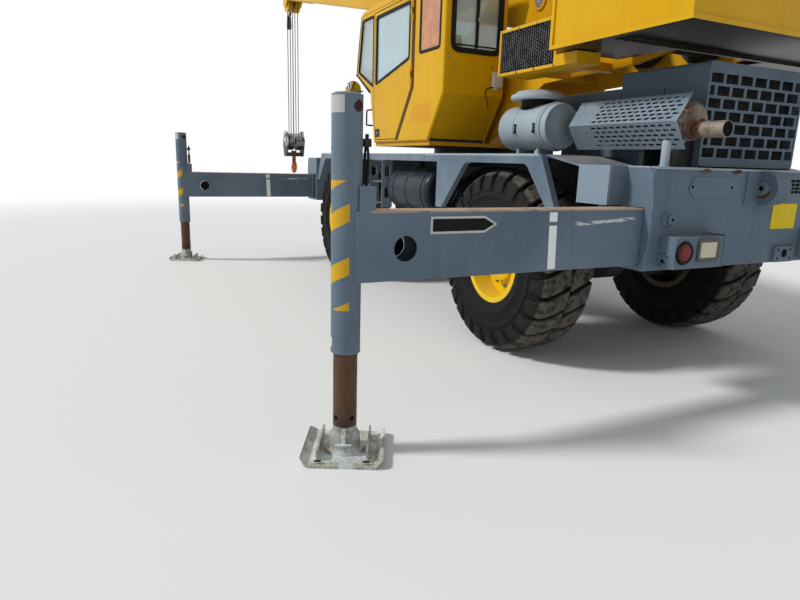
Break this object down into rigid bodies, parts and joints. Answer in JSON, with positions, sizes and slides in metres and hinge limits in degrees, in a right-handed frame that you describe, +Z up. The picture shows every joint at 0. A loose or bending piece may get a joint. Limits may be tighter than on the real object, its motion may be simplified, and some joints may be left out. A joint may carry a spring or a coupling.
{
  "type": "rough-terrain mobile crane",
  "caption": "Rough-terrain mobile crane on outriggers, with a telescoping boom, side cab, hoists, counterweight and hanging hook block.",
  "frame": {"origin": "on the ground, under the middle of the crane's bounding box", "axes": "+X forward along the parked boom, +Y to the left, +Z up"},
  "size_m": [11.9995, 6.5567, 5.7631],
  "materials": {
    "carrier_paint": "satin",
    "crane_yellow": "gloss",
    "dark_paint": "satin",
    "worn_steel": "satin",
    "rusty_steel": "rough",
    "tyre_rubber": "rough",
    "cab_glazing": "gloss",
    "exhaust_steel": "satin",
    "cast_steel": "rough",
    "polished_rod": "gloss",
    "seat_vinyl": "rough",
    "cooler_grey": "satin",
    "zinc_grey": "satin"
  },
  "bodies": {
    "carrier": {"chassis_frame": "carrier_paint", "slew_bearing": "cast_steel", "side_decks": "carrier_paint", "outrigger_boxes": "carrier_paint", "axle_housings": "dark_paint", "drive_line": "dark_paint", "engine_hood": "carrier_paint", "engine_block": "dark_paint", "radiator_grille": "carrier_paint", "muffler": "rusty_steel", "muffler_shield": "exhaust_steel", "air_cleaner": "dark_paint", "side_tanks": "dark_paint", "rear_light_boxes": "carrier_paint"},
    "superstructure": {"turntable_frame": "crane_yellow", "counterweight": "crane_yellow", "oil_cooler": "cooler_grey", "cab_left_wall": "crane_yellow", "cab_right_wall": "crane_yellow", "cab_rear_wall": "crane_yellow", "cab_front_wall": "crane_yellow", "cab_roof": "crane_yellow", "cab_floor": "dark_paint", "cab_glass": "cab_glazing", "operator_station": "seat_vinyl"},
    "door": {"cab_door": "crane_yellow", "door_glass": "cab_glazing"},
    "main_drum": {"main_hoist_drum": "dark_paint"},
    "aux_drum": {"aux_hoist_drum": "dark_paint"},
    "boom_base_section": {"boom_base": "crane_yellow"},
    "boom_second_section": {"boom_second": "crane_yellow"},
    "boom_third_section": {"boom_third": "crane_yellow"},
    "boom_fly_section": {"boom_fly": "crane_yellow"},
    "rope_anchor_link": {"rope_anchor": "worn_steel"},
    "hook_block_body": {"hook_block": "dark_paint"},
    "hook": {"load_hook": "rusty_steel"},
    "lift_barrel": {"lift_cylinder_barrel": "crane_yellow"},
    "lift_rod": {"lift_cylinder_rod": "polished_rod"},
    "rear_left_beam": {"rear_left_outrigger_beam": "carrier_paint"},
    "rear_left_jack": {"rear_left_jack_leg": "rusty_steel"},
    "rear_right_beam": {"rear_right_outrigger_beam": "carrier_paint"},
    "rear_right_jack": {"rear_right_jack_leg": "rusty_steel"},
    "rear_left_knuckle": {"rear_left_steering_knuckle": "dark_paint"},
    "rear_left_wheel": {"rear_left_rim": "crane_yellow", "rear_left_tyre": "tyre_rubber"},
    "rear_right_knuckle": {"rear_right_steering_knuckle": "dark_paint"},
    "rear_right_wheel": {"rear_right_rim": "crane_yellow", "rear_right_tyre": "tyre_rubber"},
    "rear_track_rod": {"rear_tie_rod": "dark_paint"},
    "front_left_beam": {"front_left_outrigger_beam": "carrier_paint"},
    "front_left_jack": {"front_left_jack_leg": "rusty_steel"},
    "front_right_beam": {"front_right_outrigger_beam": "carrier_paint"},
    "front_right_jack": {"front_right_jack_leg": "rusty_steel"},
    "front_left_knuckle": {"front_left_steering_knuckle": "dark_paint"},
    "front_left_wheel": {"front_left_rim": "crane_yellow", "front_left_tyre": "tyre_rubber"},
    "front_right_knuckle": {"front_right_steering_knuckle": "dark_paint"},
    "front_right_wheel": {"front_right_rim": "crane_yellow", "front_right_tyre": "tyre_rubber"},
    "front_track_rod": {"front_tie_rod": "dark_paint"}
  },
  "joints": [
    {"name": "slew", "type": "hinge", "parent": "carrier", "child": "superstructure", "pos_m": [-2.35, 0, 1.7], "axis": [0, 0, 1], "continuous": true},
    {"name": "luff", "type": "hinge", "parent": "superstructure", "child": "boom_base_section", "pos_m": [-3.7, 0, 3], "axis": [0, -1, 0], "range_deg": [-13.2, 62.8]},
    {"name": "lift_barrel_swing", "type": "hinge", "parent": "superstructure", "child": "lift_barrel", "pos_m": [-2.8, 0, 2.02], "axis": [0, -1, 0], "range_deg": [-12.85, 60.76]},
    {"name": "lift_rod_slide", "type": "slide", "parent": "lift_barrel", "child": "lift_rod", "axis": [0.9189, 0, 0.3946], "range_m": [-0.32292, 1.52882]},
    {"name": "second_section_slide", "type": "slide", "parent": "boom_base_section", "child": "boom_second_section", "axis": [0.9736, 0, 0.2284], "range_m": [0, 7.2]},
    {"name": "third_section_slide", "type": "slide", "parent": "boom_second_section", "child": "boom_third_section", "axis": [0.9736, 0, 0.2284], "range_m": [0, 7.2]},
    {"name": "fly_section_slide", "type": "slide", "parent": "boom_third_section", "child": "boom_fly_section", "axis": [0.9736, 0, 0.2284], "range_m": [0, 7.2]},
    {"name": "rope_anchor_swing", "type": "hinge", "parent": "boom_fly_section", "child": "rope_anchor_link", "pos_m": [5.61751, 0, 4.87726], "axis": [0, -1, 0], "range_deg": [-62.9, 13.3]},
    {"name": "hoist", "type": "slide", "parent": "rope_anchor_link", "child": "hook_block_body", "axis": [0, 0, 1], "range_m": [0, 2.1]},
    {"name": "hook_swivel", "type": "hinge", "parent": "hook_block_body", "child": "hook", "pos_m": [5.61751, 0, 1.6], "axis": [0, 0, 1], "continuous": true},
    {"name": "main_drum_spin", "type": "hinge", "parent": "superstructure", "child": "main_drum", "pos_m": [-4.35, 0, 2.64], "axis": [0, 1, 0], "continuous": true},
    {"name": "aux_drum_spin", "type": "hinge", "parent": "superstructure", "child": "aux_drum", "pos_m": [-4.93, 0, 2.6], "axis": [0, 1, 0], "continuous": true},
    {"name": "cab_door_hinge", "type": "hinge", "parent": "superstructure", "child": "door", "pos_m": [-2.653, 1.162, 2.6], "axis": [0, 0, 1], "range_deg": [0, 100]},
    {"name": "rear_left_beam_slide", "type": "slide", "parent": "carrier", "child": "rear_left_beam", "axis": [0, -1, 0], "range_m": [0, 1.8]},
    {"name": "rear_left_jack_slide", "type": "slide", "parent": "rear_left_beam", "child": "rear_left_jack", "axis": [0, 0, 1], "range_m": [0, 0.43]},
    {"name": "rear_right_beam_slide", "type": "slide", "parent": "carrier", "child": "rear_right_beam", "axis": [0, 1, 0], "range_m": [0, 1.8]},
    {"name": "rear_right_jack_slide", "type": "slide", "parent": "rear_right_beam", "child": "rear_right_jack", "axis": [0, 0, 1], "range_m": [0, 0.43]},
    {"name": "rear_left_steer", "type": "hinge", "parent": "carrier", "child": "rear_left_knuckle", "pos_m": [-4.402, 0.68, 0.746], "axis": [0, 0, 1], "range_deg": [-28, 28]},
    {"name": "rear_left_wheel_spin", "type": "hinge", "parent": "rear_left_knuckle", "child": "rear_left_wheel", "pos_m": [-4.402, 1.007, 0.746], "axis": [0, 1, 0], "continuous": true},
    {"name": "rear_right_steer", "type": "hinge", "parent": "carrier", "child": "rear_right_knuckle", "pos_m": [-4.402, -0.68, 0.746], "axis": [0, 0, 1], "range_deg": [-28, 28]},
    {"name": "rear_right_wheel_spin", "type": "hinge", "parent": "rear_right_knuckle", "child": "rear_right_wheel", "pos_m": [-4.402, -1.007, 0.746], "axis": [0, 1, 0], "continuous": true},
    {"name": "rear_tie_rod_swing", "type": "hinge", "parent": "rear_left_knuckle", "child": "rear_track_rod", "pos_m": [-4.142, 0.68, 0.58], "axis": [0, 0, 1], "range_deg": [-28.1, 28.1]},
    {"name": "front_left_beam_slide", "type": "slide", "parent": "carrier", "child": "front_left_beam", "axis": [0, -1, 0], "range_m": [0, 1.8]},
    {"name": "front_left_jack_slide", "type": "slide", "parent": "front_left_beam", "child": "front_left_jack", "axis": [0, 0, 1], "range_m": [0, 0.43]},
    {"name": "front_right_beam_slide", "type": "slide", "parent": "carrier", "child": "front_right_beam", "axis": [0, 1, 0], "range_m": [0, 1.8]},
    {"name": "front_right_jack_slide", "type": "slide", "parent": "front_right_beam", "child": "front_right_jack", "axis": [0, 0, 1], "range_m": [0, 0.43]},
    {"name": "front_left_steer", "type": "hinge", "parent": "carrier", "child": "front_left_knuckle", "pos_m": [-0.735, 0.68, 0.746], "axis": [0, 0, 1], "range_deg": [-28, 28]},
    {"name": "front_left_wheel_spin", "type": "hinge", "parent": "front_left_knuckle", "child": "front_left_wheel", "pos_m": [-0.735, 1.007, 0.746], "axis": [0, 1, 0], "continuous": true},
    {"name": "front_right_steer", "type": "hinge", "parent": "carrier", "child": "front_right_knuckle", "pos_m": [-0.735, -0.68, 0.746], "axis": [0, 0, 1], "range_deg": [-28, 28]},
    {"name": "front_right_wheel_spin", "type": "hinge", "parent": "front_right_knuckle", "child": "front_right_wheel", "pos_m": [-0.735, -1.007, 0.746], "axis": [0, 1, 0], "continuous": true},
    {"name": "front_tie_rod_swing", "type": "hinge", "parent": "front_left_knuckle", "child": "front_track_rod", "pos_m": [-0.995, 0.68, 0.58], "axis": [0, 0, 1], "range_deg": [-28.1, 28.1]}
  ],
  "couplings": [
    {"joint": "lift_barrel_swing", "follows": "luff", "ratio": 0.966},
    {"joint": "lift_rod_slide", "follows": "luff", "m_per_rad": 1.393},
    {"joint": "third_section_slide", "follows": "second_section_slide", "ratio": 1},
    {"joint": "fly_section_slide", "follows": "second_section_slide", "ratio": 1},
    {"joint": "rope_anchor_swing", "follows": "luff", "ratio": -1},
    {"joint": "rear_right_steer", "follows": "rear_left_steer", "ratio": 1},
    {"joint": "rear_tie_rod_swing", "follows": "rear_left_steer", "ratio": -1},
    {"joint": "front_right_steer", "follows": "front_left_steer", "ratio": 1},
    {"joint": "front_tie_rod_swing", "follows": "front_left_steer", "ratio": -1}
  ]
}
